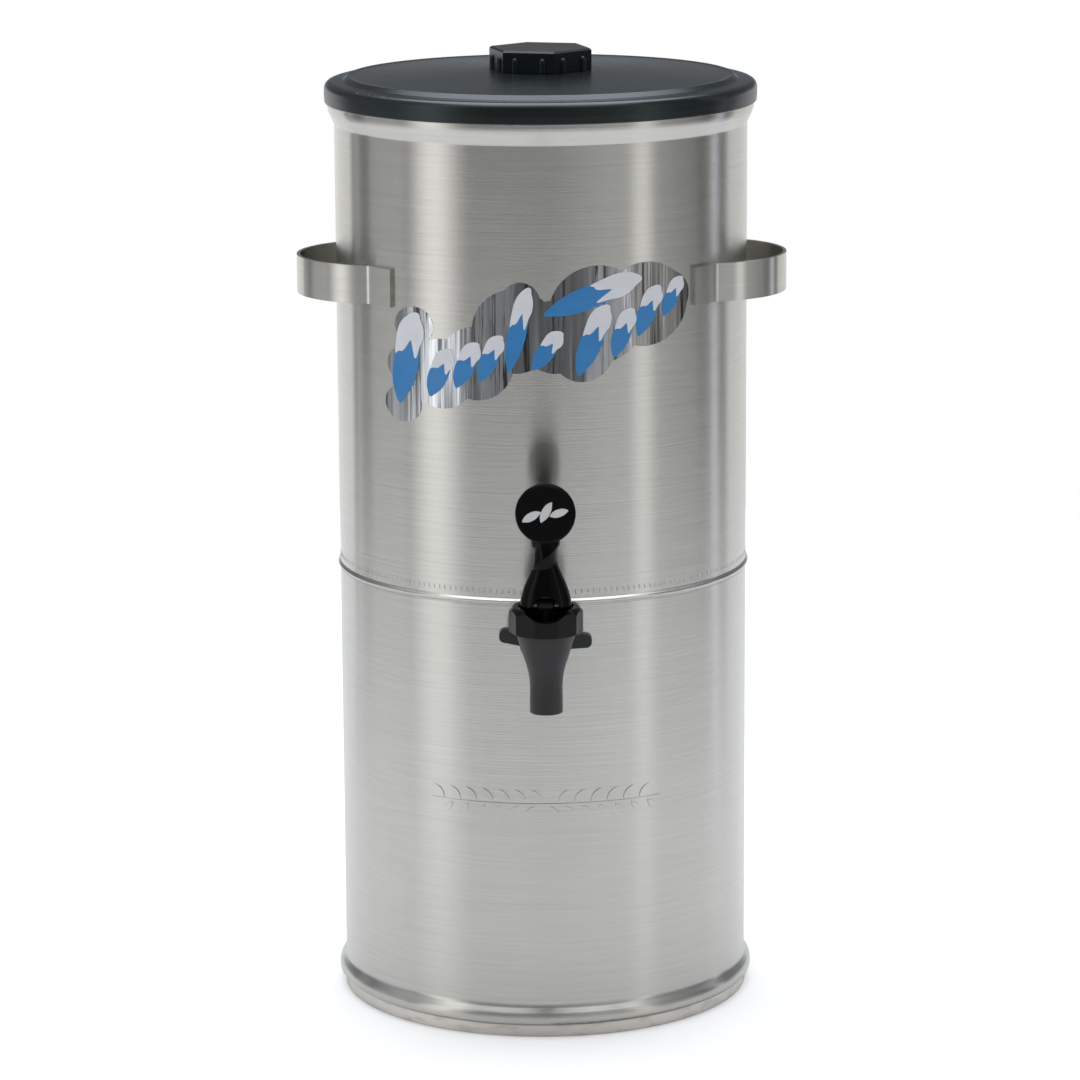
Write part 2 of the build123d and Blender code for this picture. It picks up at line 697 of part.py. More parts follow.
def make_seat_cup():
    """Rubber cup: flange under the bonnet, tapered wall and a nose that closes the valve seat."""
    side_r = CHAMBER_R - CUP_SIDE_GAP
    nose_r = SEAT_R - 0.2
    flange_low = NECK_TOP + CUP_FLANGE_GAP
    flange_high = BONNET_UNDERSIDE - CUP_FLANGE_GAP
    waist_z = SEAT_TOP + 4
    tip_r = OUTLET_R + 0.05
    cup = turned(rounded_face([
        (0, CUP_BOTTOM, 0),
        (tip_r, CUP_BOTTOM, 0),
        (nose_r, SEAT_TOP, 0),
        (CUP_WAIST_R, waist_z, 0),
        (side_r, CHAMBER_TAPER_TOP - 1, 0),
        (side_r, flange_low, 0),
        (NECK_R - 0.1, flange_low, 0.4),
        (NECK_R - 0.1, flange_high, 0.4),
        (side_r - CUP_WALL, flange_high, 0),
        (side_r - CUP_WALL, CHAMBER_TAPER_TOP - 1, 0),
        (CUP_WAIST_R - CUP_WALL, waist_z, 0),
        (CUP_WAIST_R - CUP_WALL, CUP_INSIDE, 0),
        (0, CUP_INSIDE, 0),
    ]))
    socket = Pos(0, 0, CUP_INSIDE - STEM_TIP) * upright_rod(STEM_R, STEM_TIP)
    return AT_FAUCET * (cup - socket)


def make_valve_stem():
    """Plastic rod from the seat cup up to the lever's pin, with the spring's collar near its foot."""
    foot = CUP_INSIDE - STEM_TIP
    rod = Pos(0, 0, foot) * upright_rod(STEM_R, PIN_Z - foot)
    collar = Pos(0, 0, CUP_INSIDE) * upright_rod(STEM_COLLAR_R, STEM_COLLAR_T)
    head = Pos(0, 0, PIN_Z) * Rot(0, 90, 0) * Cylinder(STEM_HEAD_R, STEM_HEAD_WIDTH)
    head = chamfer(head.edges().filter_by(GeomType.CIRCLE), 0.8)
    hole = Pos(0, 0, PIN_Z) * Rot(0, 90, 0) * Cylinder(PIN_R, STEM_HEAD_WIDTH + 2)
    return AT_FAUCET * (rod + collar + head - hole)


def make_return_spring():
    """Compression spring between the stem's collar and the bonnet."""
    height = BONNET_UNDERSIDE - COLLAR_TOP - SPRING_WIRE - 0.1
    path = Helix(pitch=height / SPRING_TURNS, height=height, radius=SPRING_R)
    profile = Plane(origin=path @ 0, z_dir=path % 0) * Circle(SPRING_WIRE / 2)
    coil = sweep(profile, path=path)
    return AT_FAUCET * Pos(0, 0, COLLAR_TOP + SPRING_WIRE / 2 + 0.05) * coil


def make_lever_pin():
    """Steel pin that joins the lever to the stem."""
    return AT_FAUCET * Pos(0, 0, PIN_Z) * Rot(0, 90, 0) * Cylinder(PIN_R, 2 * PIN_HALF)


def lens_section(height, turn):
    """A two-cornered section of the twisted neck."""
    front = ThreePointArc((TWIST_HALF, 0), (0, TWIST_THICK), (-TWIST_HALF, 0))
    back = ThreePointArc((-TWIST_HALF, 0), (0, -TWIST_THICK), (TWIST_HALF, 0))
    return Pos(0, 0, height) * Rot(0, 0, turn) * make_face([front, back])


def make_bell():
    """The lever's foot: oval sections that widen downwards, open through an arch for the stem."""
    sections = [
        Pos(0, 0, FOOT_BOTTOM) * Ellipse(BELL_R - FOOT_TUCK, BELL_DEPTH - FOOT_TUCK),
        Pos(0, 0, BONNET_TOP) * Ellipse(BELL_R, BELL_DEPTH),
    ]
    for rise, wide, deep in BELL_SECTIONS:
        sections.append(Pos(0, 0, BONNET_TOP + rise) * Ellipse(BELL_R * wide, BELL_DEPTH * deep))
    bell = loft(sections)
    arch_middle = BONNET_TOP + ARCH_RISE - ARCH_HALF
    arch = Pos(0, arch_middle) * Circle(ARCH_HALF)
    arch += Pos(0, arch_middle) * Rectangle(2 * ARCH_HALF, 40, align=(Align.CENTER, Align.MAX))
    return bell - extrude(Plane.XZ * arch, 2 * BELL_R, both=True)


def make_lever():
    """Pull lever: forked bell, neck twisted half a turn, and a leaning disc with a shallow recess."""
    rise = (TWIST_HIGH - TWIST_LOW) / TWIST_STEPS
    twist_top = BONNET_TOP + TWIST_HIGH
    sections = []
    for step in range(TWIST_STEPS + 1):
        sections.append(lens_section(twist_top - step * rise, -180 * step / TWIST_STEPS))
    neck = loft(sections)
    spine = loft([
        Pos(0, y, BONNET_TOP + up) * Ellipse(wide, deep) for up, y, wide, deep in SPINE_SECTIONS
    ])
    disc = fillet(Cylinder(DISC_R, DISC_T).edges().filter_by(GeomType.CIRCLE), DISC_EDGE)
    recess = Pos(0, 0, DISC_T / 2) * Cylinder(DISC_R - BADGE_RIM, 2 * BADGE_DEPTH)
    hole = Pos(0, 0, PIN_Z) * Rot(0, 90, 0) * Cylinder(PIN_R + PIN_RUN, 4 * BELL_R)
    lever = make_bell() + neck + spine + disc_place() * disc
    return AT_FAUCET * (lever - disc_place() * recess - hole)


def disc_place():
    """Frame of the lever's disc: local Z is its front face's normal."""
    return Pos(0, -DISC_FORWARD, DISC_Z) * Rot(90 - DISC_LEAN, 0, 0)


def make_lever_badge():
    """Plain round inlay in the disc's front."""
    badge = Cylinder(DISC_R - BADGE_RIM - 0.05, BADGE_T, align=(Align.CENTER, Align.CENTER, Align.MIN))
    badge = fillet(badge.edges().group_by(Axis.Z)[-1], 0.3)
    return AT_FAUCET * disc_place() * Pos(0, 0, DISC_T / 2 - BADGE_DEPTH) * badge


PARTS = {
    "upper_shell": make_upper_shell,
    "reservoir_pan": make_reservoir_pan,
    "base_skirt": make_base_skirt,
    "foot_ring": make_foot_ring,
    "handle_right": lambda: make_handle(1),
    "handle_left": lambda: make_handle(-1),
    "front_label": make_front_label,
    "lid": make_lid,
    "hex_cap": make_hex_cap,
    "cap_seal": make_cap_seal,
    "shank": make_shank,
    "coupling_gasket": make_coupling_gasket,
    "c_ring": make_c_ring,
    "wing_nut": make_wing_nut,
    "faucet_body": make_faucet_body,
    "bonnet": make_bonnet,
    "seat_cup": make_seat_cup,
    "valve_stem": make_valve_stem,
    "return_spring": make_return_spring,
    "lever_pin": make_lever_pin,
    "lever": make_lever,
    "lever_badge": make_lever_badge,
}


def main():
    os.makedirs("parts", exist_ok=True)
    for name, make in PARTS.items():
        export_step(make(), f"parts/{name}.step")
        print(name)


main()
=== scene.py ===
import json
import math

import bmesh
import bpy
from mathutils import Matrix, Vector


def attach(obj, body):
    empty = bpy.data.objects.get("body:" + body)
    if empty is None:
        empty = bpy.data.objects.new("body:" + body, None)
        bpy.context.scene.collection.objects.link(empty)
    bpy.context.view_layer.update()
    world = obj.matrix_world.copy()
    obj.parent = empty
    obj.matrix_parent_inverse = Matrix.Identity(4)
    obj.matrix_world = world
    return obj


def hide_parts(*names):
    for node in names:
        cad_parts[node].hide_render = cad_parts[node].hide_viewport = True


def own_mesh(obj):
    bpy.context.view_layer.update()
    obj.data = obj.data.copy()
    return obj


bl_info = {
    "name": "Tea Dispenser Finishes",
    "version": (1, 1, 0),
    "blender": (4, 5, 0),
    "location": "View3D > Sidebar > Dispenser",
    "description": "Finishes, printed leaves, weld marks and the faucet's inside for a tea dispenser",
    "category": "Object",
}

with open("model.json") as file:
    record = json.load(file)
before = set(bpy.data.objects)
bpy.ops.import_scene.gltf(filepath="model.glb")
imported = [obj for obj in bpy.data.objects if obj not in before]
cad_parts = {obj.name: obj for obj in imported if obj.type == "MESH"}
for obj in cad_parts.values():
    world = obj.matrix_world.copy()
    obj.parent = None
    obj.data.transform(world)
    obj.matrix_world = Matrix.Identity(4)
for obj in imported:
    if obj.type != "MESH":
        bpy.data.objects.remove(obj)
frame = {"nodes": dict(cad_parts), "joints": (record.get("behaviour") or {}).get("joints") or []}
nodes = frame["nodes"]
joints = {joint["name"]: joint for joint in frame["joints"]}

# Units and turns
MM = 0.001
FULL_TURN = 2 * math.pi
DEGREES = 180 / math.pi
FACING_FRONT = (math.pi / 2, 0, 0)

# Body and faucet, as the CAD has them
BODY_R = 120.65 * MM
FAUCET_Y = joints["lever_tilt"]["pos_m"][1]
FAUCET_Z = joints["nut_turn"]["pos_m"][2]
BONNET_UNDERSIDE = joints["stem_lift"]["deforming_nodes"][0]["fixed_end_z_m"]

# Print on the label: each leaf's place across and up, half length, lean in degrees and share of width
LABEL_LEAVES = (
    (-78.0, -12.0, 25.0, 80.0, 0.72),
    (-59.5, -17.5, 14.0, 68.0, 0.98),
    (-44.5, -12.0, 13.5, 66.0, 0.98),
    (-31.0, -7.5, 13.5, 66.0, 0.92),
    (-15.0, 8.0, 23.0, 77.0, 0.56),
    (1.0, -2.5, 12.5, 54.0, 1.0),
    (26.5, 2.0, 20.0, 68.0, 0.78),
    (25.0, 28.0, 27.0, 20.0, 0.6),
    (44.0, 6.0, 13.5, 70.0, 0.95),
    (58.5, 17.5, 14.0, 68.0, 0.95),
    (72.5, 24.5, 11.0, 66.0, 0.95),
)
LABEL_Z = 406.5 * MM
PRINT_REACH = 30 * MM
PRINT_THICKNESS = 0.05 * MM
FROST_LIFT = 0.15 * MM
FROST_RAISE = 0.60

# Mark on the lever's disc, with its leaves listed as the label's are
MARK_LEAVES = (
    (-8.0, -1.6, 5.8, 28.0, 1.0),
    (0.2, 0.8, 6.4, 62.0, 0.95),
    (7.4, 0.3, 5.4, 18.0, 1.0),
)
MARK_THICKNESS = 0.06 * MM

# Lever's disc: its middle, the way from there to the print, and its lean
DISC_Z = 321.4 * MM
DISC_FORWARD = 4.0 * MM
DISC_FACE = 3.11 * MM
DISC_LEAN = math.radians(8)

# Weld marks over the bead
WELD_COUNT = 216
WELD_Z = 265.6 * MM
WELD_R = 0.45 * MM
WELD_SIDES = 8
WELD_SUNK = 0.02 * MM
WELD_PROUD = 0.09 * MM
WELD_STRETCH = 3.6
WELD_LEAN = math.radians(9)
WELD_CROWN = (0.55, 1, 0.8)

# Return spring
SPRING_R = 4.9 * MM
SPRING_WIRE_R = 0.45 * MM
SPRING_WIRE_SIDES = 12
SPRING_TURNS = 8
SPRING_STEPS = 28
SPRING_PLAY = 0.05 * MM
SPRING_LOW = 235.35 * MM
SPRING_HIGH = BONNET_UNDERSIDE - SPRING_PLAY

# Seat cup, outlined by radius and height over the faucet's axis, up the outside and down the inside
CUP_PROFILE = (
    (6.55, -14.2), (8.6, -11.0), (8.0, -7.0), (12.75, 8.0), (12.75, 14.75), (16.15, 14.75),
    (16.15, 16.35), (11.35, 16.35), (11.35, 8.0), (6.6, -7.0), (6.6, -8.2),
)
CUP_SIDES = 64
CUP_EDGE = 0.35 * MM

# Colours that come up more than once
WHITE = (1, 1, 1)
COOL_SHEEN = (0.84, 0.93, 1.0)
SOFT_WHITE = (0.72, 0.71, 0.67)

# Levels that a noise mostly stays between
NOISE_LOW = 0.3
NOISE_HIGH = 0.7

# Moulded pieces: node, finish, colour, roughness, grain scale, grain depth, tone, shine and sheen
MOULDINGS = (
    ("lid", "lid_plastic", (0.0010, 0.0040, 0.0030), 0.28, 2600.0, 0.01 * MM, 0.25, 0.64, COOL_SHEEN),
    ("hex_cap", "cap_plastic", (0.0020, 0.0050, 0.0040), 0.30, 2600.0, 0.01 * MM, 0.25, 0.45, COOL_SHEEN),
    ("faucet_body", "spout_plastic", (0.027, 0.026, 0.026), 0.40, 2200.0, 0.02 * MM, 0.08, 0.3),
    ("wing_nut", "nut_plastic", (0.013, 0.018, 0.015), 0.34, 2200.0, 0.02 * MM, 0.15, 0.4),
    ("bonnet", "bonnet_plastic", (0.0025, 0.0025, 0.0025), 0.12, 900.0, 0.01 * MM, 0.2, 0.18),
    ("lever", "lever_plastic", (0.0012, 0.0012, 0.0012), 0.15, 900.0, 0.01 * MM, 0.2, 0.13),
    ("lever_badge", "badge_plastic", (0.0010, 0.0010, 0.0010), 0.28, 1800.0, 0.01 * MM, 0.2, 0.22),
    ("valve_stem", "stem_plastic", (0.012, 0.012, 0.012), 0.35, 1500.0, 0.01 * MM),
    ("c_ring", "clip_plastic", (0.70, 0.70, 0.68), 0.4, 1500.0, 0.01 * MM, 0.04),
    ("cap_seal", "seal_rubber", (0.05, 0.05, 0.05), 0.6, 1500.0, 0.02 * MM),
    ("coupling_gasket", "gasket_rubber", SOFT_WHITE, 0.5, 1500.0, 0.02 * MM, 0.04),
)

# Upright panels of light in the room: middle, half width and soft edge in degrees, and strength
PANELS = (
    (-62.5, 11.5, 11, 1.0),
    (-97, 14.5, 3, 0.22),
    (-125, 3, 2, 0.24),
    (57.5, 5.5, 4, 0.57),
    (50, 26, 22, 0.17),
    (100.5, 4, 3, -0.10),
)
LILAC_PANEL = (112.5, 3, 1.2, 1.0)

# Where the room's panels, back and ceiling fade, from start to end, and how bright they are
WALL_FADE = (62, 42)
RIGHT_BACK = (124.5, 127.5, 0.0, 0.60)
LEFT_BACK = (-130, -134, 0.0, 0.70)
BACK_FADE = (5, 0)
CEILING_FRONT = (76, 88)
CEILING_BACK = (134, 122)
CEILING_SIDES = (0.62, 0.38)
COOL_FADE = (60, 100)
LILAC_STRENGTH = 0.60
WALL_STRENGTH = 0.20
CEILING_STRENGTH = 4.4

# Floor and lamps
FLOOR_SIDES = 128
FLOOR_GREY = 0.75
FLOOR_LIFT = 0.3
LAMP_ASIDE = 0.46
LAMP_FORWARD = 0.66
LAMP_Z = 2.0
LAMP_TARGET = (0, 0, 0.3)
LAMP_SIZE = 1.0
LAMP_POWER = 3.0

# Camera, with its lens and shift in the photograph's pixels
PHOTO_WIDTH = 1080
PHOTO_LENS = 4416.18
PHOTO_SHIFT = -2.96
SENSOR_WIDTH = 36.0
CAMERA_ASIDE = math.radians(-0.486)
CAMERA_TILT = math.radians(12.178)
CAMERA_ROLL = math.radians(-0.32)


class Value:
    """A number that runs through a node tree. Arithmetic on it adds Math nodes."""

    def __init__(self, net, socket):
        self.net = net
        self.socket = socket

    def maths(self, operation, *terms):
        return self.net.add("ShaderNodeMath", {"operation": operation}, dict(enumerate(terms)))

    def __add__(self, other):
        return self.maths("ADD", self, other)

    def __radd__(self, other):
        return self.maths("ADD", other, self)

    def __sub__(self, other):
        return self.maths("SUBTRACT", self, other)

    def __rsub__(self, other):
        return self.maths("SUBTRACT", other, self)

    def __mul__(self, other):
        return self.maths("MULTIPLY", self, other)

    def __rmul__(self, other):
        return self.maths("MULTIPLY", other, self)

    def __abs__(self):
        return self.maths("ABSOLUTE", self)


class Net:
    """The nodes of one material, or of the world."""

    def __init__(self, tree):
        self.tree = tree
        tree.nodes.clear()

    def add(self, kind, settings=None, inputs=None, out=0):
        """A node with its settings made first, then its sockets' values or links. Returns one output."""
        node = self.tree.nodes.new(kind)
        for name, value in (settings or {}).items():
            setattr(node, name, value)
        for key, value in (inputs or {}).items():
            if isinstance(value, Value):
                self.tree.links.new(value.socket, node.inputs[key])
            else:
                node.inputs[key].default_value = value
        return Value(self, node.outputs[out]) if len(node.outputs) else None

    def place(self):
        """The point on the piece, in metres."""
        return self.add("ShaderNodeTexCoord", out="Object")

    def split(self, vector):
        return [self.add("ShaderNodeSeparateXYZ", None, {0: vector}, axis) for axis in range(3)]

    def noise(self, point, scale, detail=2.0, roughness=0.5):
        sockets = {"Vector": point, "Scale": scale, "Detail": detail, "Roughness": roughness}
        return self.add("ShaderNodeTexNoise", None, sockets, "Fac")

    def drawn_noise(self, point, scales, detail=2.0, roughness=0.5):
        """Noise with a scale for each axis, drawn out along those with a low one."""
        drawn = self.add("ShaderNodeMapping", None, {"Vector": point, "Scale": scales})
        return self.noise(drawn, 1.0, detail, roughness)

    def ease(self, value, start, end, low=0.0, high=1.0):
        """A smooth step from low at start to high at end."""
        sockets = {"Value": value, "From Min": start, "From Max": end, "To Min": low, "To Max": high}
        return self.add("ShaderNodeMapRange", {"interpolation_type": "SMOOTHSTEP"}, sockets)

    def spread(self, noise, low, high):
        """A straight ramp from low to high over the levels that a noise mostly stays between."""
        levels = {"From Min": NOISE_LOW, "From Max": NOISE_HIGH}
        sockets = {"Value": noise, "To Min": low, "To Max": high, **levels}
        return self.add("ShaderNodeMapRange", None, sockets)

    def sway(self, noise, level, share):
        """A number that sways by a share to either side of its level."""
        return self.spread(noise, level * (1 - share), level * (1 + share))

    def colour(self, factor, first, second):
        """A blend of two colours."""
        sockets = {0: factor, 6: first, 7: second}
        return self.add("ShaderNodeMix", {"data_type": "RGBA"}, sockets, 2)

    def shades(self, factor, tint, share):
        """A colour that runs by a share from darker than its tint to lighter."""
        return self.colour(factor, tinted(tint, 1 - share), tinted(tint, 1 + share))

    def bump(self, height, distance, strength=1.0):
        sockets = {"Height": height, "Distance": distance, "Strength": strength}
        return self.add("ShaderNodeBump", None, sockets)

    def surface(self, **sockets):
        """The Principled shader of a material, with socket names written with underscores."""
        named = {name.replace("_", " "): value for name, value in sockets.items()}
        shader = self.add("ShaderNodeBsdfPrincipled", None, named)
        self.add("ShaderNodeOutputMaterial", None, {"Surface": shader})


def rgba(colour):
    return (colour[0], colour[1], colour[2], 1.0)


def tinted(colour, share):
    return rgba([min(1.0, channel * share) for channel in colour])


def new_net(name):
    material = bpy.data.materials.new(name)
    material.use_nodes = True
    return material, Net(material.node_tree)


def dress(material, *names):
    """Gives CAD nodes a finish in place of the one they came with."""
    for name in names:
        slots = nodes[name].data.materials
        slots.clear()
        slots.append(material)


def brushed_steel(name, tint, roughness, grain, brushing, brush_depth=0.01 * MM):
    """Rolled stainless sheet, brushed in level lines, with faint handling smears."""
    material, net = new_net(name)
    point = net.place()
    fine = net.drawn_noise(point, (14, 14, 2300), 3.0)
    coarse = net.drawn_noise(point, (18, 18, 620))
    cloud = net.noise(point, 13.0, 3.0)
    smear = net.ease(net.drawn_noise(point, (40, 40, 14)), 0.60, 0.74)
    streak = fine * 0.45 + coarse * 0.55
    net.surface(
        Base_Color=net.shades(net.spread(streak, 0.0, 1.0), tint, grain),
        Metallic=1.0,
        Roughness=net.sway(cloud, roughness, 0.03) + smear * 0.012,
        Anisotropic=brushing,
        Anisotropic_Rotation=0.25,
        Normal=net.bump(fine, brush_depth),
    )
    return material


def moulded(name, tint, roughness, grain_scale, grain_depth, tone=0.25, shine=0.5, sheen=WHITE):
    """Moulded plastic or rubber with a fine grain, faint flow clouds and rubbed spots."""
    material, net = new_net(name)
    point = net.place()
    grain = net.noise(point, grain_scale)
    cloud = net.noise(point, 24.0, 4.0, 0.6)
    rubbed = net.ease(net.drawn_noise(point, (60, 340, 90), 3.0), 0.60, 0.75)
    net.surface(
        Base_Color=net.shades(cloud, tint, tone),
        Roughness=net.sway(cloud, roughness, 0.07) - rubbed * 0.04,
        Specular_IOR_Level=shine,
        Specular_Tint=rgba(sheen),
        Normal=net.bump(grain, grain_depth, 0.6),
    )
    return material


def stained_metal(name, tint, roughness):
    """Dull foot trim with water stains that gather along its edge."""
    material, net = new_net(name)
    point = net.place()
    cloud = net.drawn_noise(point, (30, 30, 90), 4.0, 0.6)
    stain = net.ease(net.drawn_noise(point, (75, 75, 260), 3.0), 0.50, 0.66)
    fine = net.drawn_noise(point, (20, 20, 1800), 3.0)
    net.surface(
        Base_Color=net.colour(stain * 0.35, net.shades(cloud, tint, 0.06), tinted(tint, 0.72)),
        Metallic=1.0,
        Roughness=roughness + stain * 0.12,
        Normal=net.bump(fine, 0.02 * MM, 0.2),
    )
    return material


def wavy_foil(name, tint):
    """Mirror foil that buckles in upright ripples, so that its reflections break into streaks, with
    further light and dark reflection streaks painted into its colour.
    """
    material, net = new_net(name)
    point = net.place()
    ripple = net.drawn_noise(point, (210, 210, 7), 3.0)
    swell = net.drawn_noise(point, (70, 70, 4), 1.0)
    # Painted reflection: upright bands that make the foil's colour lighter and darker
    painted_reflection_band = net.ease(net.drawn_noise(point, (85, 85, 6)), 0.40, 0.58)
    # Painted reflection: thin upright dark streaks in the colour, where the patches allow
    painted_dark_streak = net.ease(net.drawn_noise(point, (430, 430, 10), 4.0, 0.7), 0.51, 0.58)
    patch = net.ease(net.drawn_noise(point, (75, 75, 16)), 0.38, 0.56)
    aside = net.split(point)[0]
    # Towards the right end the foil grows rougher, and its colour darker and browner
    dull = net.ease(aside, 35 * MM, 60 * MM, 0.0, 0.6)
    silver = net.colour(painted_reflection_band, tinted(tint, 0.62), tinted(tint, 1.22))
    silver_browner_to_right = net.colour(dull, silver, rgba((0.34, 0.32, 0.28)))
    net.surface(
        # The painted dark reflection streaks go into the colour here
        Base_Color=net.colour(painted_dark_streak * patch * 0.9, silver_browner_to_right, rgba((0.06, 0.065, 0.07))),
        Metallic=1.0,
        Roughness=net.spread(ripple, 0.08, 0.16) + dull * 0.12,
        Normal=net.bump(ripple * 0.5 + swell, 0.9 * MM),
    )
    return material


def printed(name, tint, pale, speck):
    """Screen print: flat ink that pales in patches, with fine darker specks."""
    material, net = new_net(name)
    point = net.place()
    patch = net.drawn_noise(point, (45, 45, 90), 3.0, 0.6)
    dots = net.ease(net.noise(point, 900.0), 0.62, 0.72)
    ink = net.colour(patch, rgba(tint), rgba(pale))
    net.surface(
        Base_Color=net.colour(dots * speck, ink, tinted(tint, 0.6)),
        Roughness=net.spread(patch, 0.30, 0.42),
        Normal=net.bump(patch, 0.03 * MM, 0.5),
    )
    return material


class DISPENSER_PG_settings(bpy.types.PropertyGroup):
    steel_tint: bpy.props.FloatVectorProperty(
        name="Steel tint", description="Colour of the brushed sheet",
        default=(0.605, 0.592, 0.55), min=0.0, max=1.0, size=3, subtype="COLOR")
    steel_roughness: bpy.props.FloatProperty(
        name="Steel roughness", description="How far the brushing spreads a reflection",
        default=0.23, min=0.05, max=1.0)
    steel_anisotropy: bpy.props.FloatProperty(
        name="Brushing", description="How much more the sheet spreads light upright than level",
        default=1.0, min=0.0, max=1.0)
    print_blue: bpy.props.FloatVectorProperty(
        name="Print blue", description="Colour of the printed leaves",
        default=(0.032, 0.215, 0.53), min=0.0, max=1.0, size=3, subtype="COLOR")
    print_white: bpy.props.FloatVectorProperty(
        name="Print white", description="Colour of the frost on the printed leaves",
        default=(0.76, 0.78, 0.82), min=0.0, max=1.0, size=3, subtype="COLOR")
    print_lift: bpy.props.FloatProperty(
        name="Print lift", description="How far the print stands over the shell, foil included",
        default=0.28 * MM, min=0.2 * MM, max=1.0 * MM, subtype="DISTANCE", unit="LENGTH")
    floor_radius: bpy.props.FloatProperty(
        name="Floor radius", description="Radius of the white table top",
        default=1.4, min=0.5, max=5.0, subtype="DISTANCE", unit="LENGTH")
    camera_distance: bpy.props.FloatProperty(
        name="Camera distance", description="Level distance from the dispenser's axis to the camera",
        default=2.57434, min=0.5, max=10.0, subtype="DISTANCE", unit="LENGTH")
    camera_height: bpy.props.FloatProperty(
        name="Camera height", description="Height of the camera over the floor",
        default=0.82544, min=0.0, max=5.0, subtype="DISTANCE", unit="LENGTH")


def settings():
    return bpy.context.scene.dispenser


def only(piece):
    bpy.ops.object.select_all(action="DESELECT")
    piece.select_set(True)
    bpy.context.view_layer.objects.active = piece


def edit_all(piece):
    """Starts editing a piece, with all of it selected."""
    only(piece)
    bpy.ops.object.mode_set(mode="EDIT")
    bpy.ops.mesh.select_all(action="SELECT")


def leave_edit():
    bpy.ops.object.mode_set(mode="OBJECT")


def choose(test):
    """Selects the points of the mesh being edited that pass a test on their place."""
    mesh = bmesh.from_edit_mesh(bpy.context.object.data)
    for point in mesh.verts:
        point.select = bool(test(point.co))
    mesh.select_flush_mode()
    bmesh.update_edit_mesh(bpy.context.object.data)


def choose_open_edges():
    bpy.ops.mesh.select_all(action="DESELECT")
    bpy.ops.mesh.select_non_manifold()


def pull(test, aside, up):
    """Moves the points of a flat drawing that pass a test."""
    choose(test)
    bpy.ops.transform.translate(value=(aside, 0, up))


def narrow(test, share):
    """Draws the points of a flat drawing that pass a test in towards their middle."""
    choose(test)
    bpy.ops.transform.resize(value=(share, 1, 1))


def apply_modifier(piece, kind, **values):
    """Adds a modifier with its values and applies it."""
    only(piece)
    modifier = piece.modifiers.new(kind.lower(), kind)
    for name, value in values.items():
        setattr(modifier, name, value)
    bpy.ops.object.modifier_apply(modifier=modifier.name)


def settle(piece):
    """Puts the piece's place into its mesh."""
    only(piece)
    bpy.ops.object.transform_apply(location=True, rotation=True, scale=True)


def outward(piece):
    """Makes the piece's faces agree, outwards where it is closed."""
    edit_all(piece)
    bpy.ops.mesh.normals_make_consistent(inside=False)
    leave_edit()


def new_round(sides, radius, fill, rotation=(0, 0, 0), location=(0, 0, 0)):
    """A flat round with its place in its mesh."""
    bpy.ops.object.select_all(action="DESELECT")
    bpy.ops.mesh.primitive_circle_add(
        vertices=sides, radius=radius, fill_type=fill, rotation=rotation, location=location)
    piece = bpy.context.object
    settle(piece)
    return piece


def finish_piece(piece, name, material, body):
    """Names a piece, gives it its finish and lets it ride on its body."""
    piece.name = name
    piece.data.name = name
    piece.data.materials.clear()
    piece.data.materials.append(material)
    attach(piece, body)


def start_drawing(sides, width, height):
    """Starts a flat drawing that faces the front, from a round squeezed in width and height."""
    drawing = new_round(sides, 1.0, "TRIFAN", FACING_FRONT)
    edit_all(drawing)
    bpy.ops.transform.resize(value=(width, 1, height))
    return drawing


def end_drawing(drawing):
    """Leaves a drawing's points and rounds its outline."""
    leave_edit()
    apply_modifier(drawing, "SUBSURF", levels=3, render_levels=3)
    return drawing


def model_leaf():
    """One pointed leaf with a rounded foot, its half length 1."""
    leaf = start_drawing(12, 0.42, 1)
    pull(lambda point: point.z > 0.95, 0.10, 0.10)
    narrow(lambda point: 0.8 < point.z < 0.9, 0.7)
    pull(lambda point: point.z < -0.95, 0.04, -0.05)
    narrow(lambda point: -0.9 < point.z < -0.8, 0.62)
    return end_drawing(leaf)


def model_frost():
    """The frost on such a leaf: a rounded cap over its upper part with a wavy lower edge."""
    frost = start_drawing(24, 0.43, 0.52)
    pull(lambda point: point.z < -0.48, 0.0, 0.42)
    pull(lambda point: -0.48 < point.z < -0.42, 0.0, 0.06)
    pull(lambda point: -0.42 < point.z < -0.30 and point.x > 0, 0.01, -0.10)
    pull(lambda point: -0.42 < point.z < -0.30 and point.x < 0, 0.0, 0.24)
    pull(lambda point: -0.30 < point.z < -0.08 and point.x < 0, 0.01, -0.26)
    pull(lambda point: -0.30 < point.z < -0.08 and point.x > 0, -0.04, 0.04)
    pull(lambda point: point.z > 0.46, 0.07, 0.07)
    return end_drawing(frost)


def strew(drawing, leaves, raised, depth):
    """Copies a flat drawing to each leaf's place, each with its own mesh, and joins the copies.

    A copy stands over the leaf's middle, along the leaf, by the raised share of its half length.
    """
    copies = []
    for x, z, half, lean, wide in leaves:
        only(drawing)
        bpy.ops.object.duplicate()
        copy = bpy.context.object
        turn = math.radians(lean)
        copy.scale = (half * wide * MM, 1, half * MM)
        copy.rotation_euler = (0, math.pi / 2 - turn, 0)
        copy.location = (
            (x + half * raised * math.cos(turn)) * MM, depth, (z + half * raised * math.sin(turn)) * MM)
        settle(copy)
        copies.append(copy)
    bpy.data.objects.remove(drawing)
    for copy in copies:
        copy.select_set(True)
    bpy.context.view_layer.objects.active = copies[0]
    bpy.ops.object.join()
    return bpy.context.object


def face_front(drawing):
    """Turns a flat drawing's faces towards the front."""
    outward(drawing)
    if sum(face.normal.y for face in drawing.data.polygons) > 0:
        edit_all(drawing)
        bpy.ops.mesh.flip_normals()
        leave_edit()


